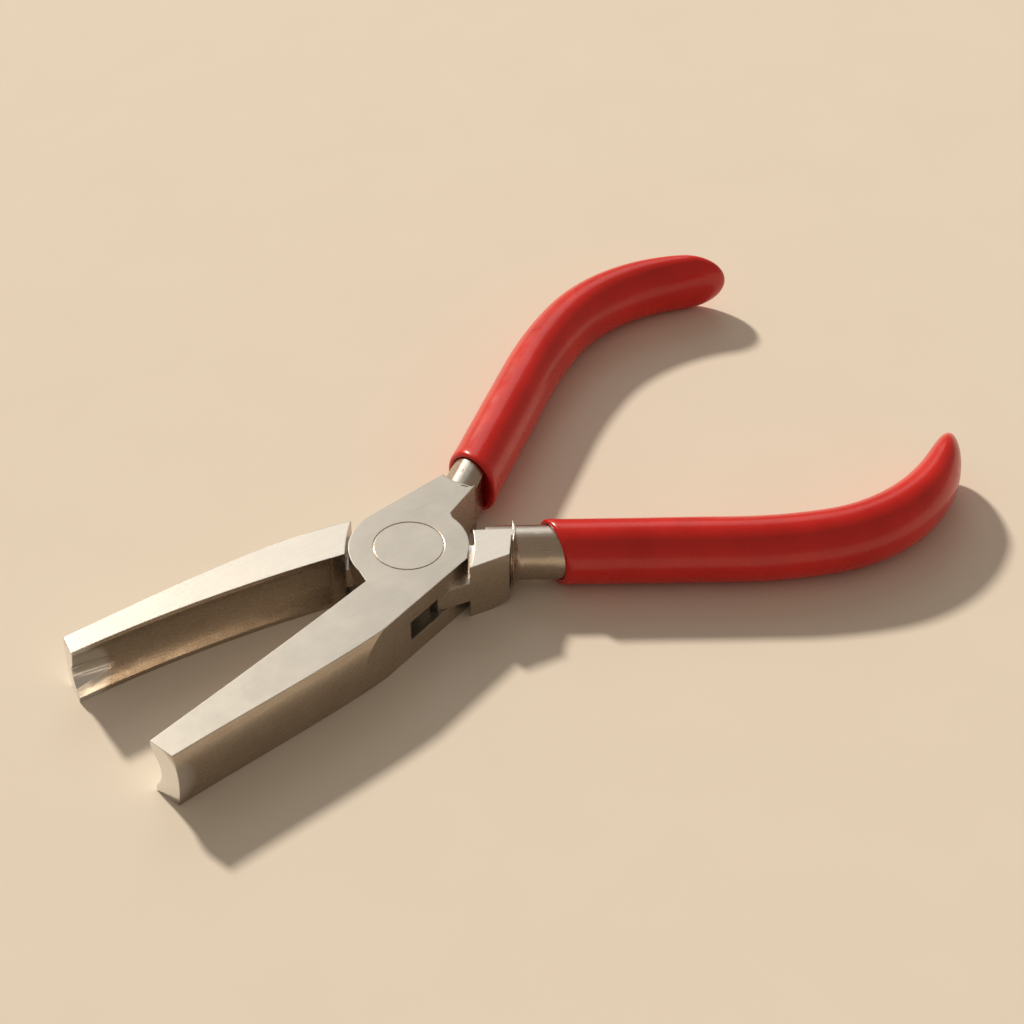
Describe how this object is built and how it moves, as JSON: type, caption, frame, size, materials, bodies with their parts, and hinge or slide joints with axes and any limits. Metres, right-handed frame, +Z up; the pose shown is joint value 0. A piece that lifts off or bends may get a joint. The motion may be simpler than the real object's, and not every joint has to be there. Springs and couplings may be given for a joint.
{
  "type": "snap setter pliers",
  "caption": "Box joint pliers that set garment snaps: long flat jaws with a rounded seat in each tip, a flush pivot rivet and curved handles in dipped vinyl grips.",
  "frame": {"origin": "where the pivot axis meets the flat underside", "axes": "+Z up along the pivot axis, +X towards the handles on the line halfway between them, +Y towards the box half's handle"},
  "size_m": [0.1378, 0.0799, 0.0106],
  "materials": {
    "forged_steel": "satin ground faces with fine brushing",
    "rivet_steel": "ground flush with the cheeks",
    "red_vinyl": "glossy dipped vinyl"
  },
  "bodies": {
    "box_side": {"box_half": "forged_steel", "pivot_rivet": "rivet_steel", "box_half_grip": "red_vinyl"},
    "tongue_side": {"tongue_half": "forged_steel", "tongue_half_grip": "red_vinyl"}
  },
  "joints": [
    {"name": "jaw_pivot", "type": "hinge", "parent": "box_side", "child": "tongue_side", "pos_m": [0, 0, 0.0049], "axis": [0, 0, 1], "range_deg": [-16, 23.4]}
  ]
}
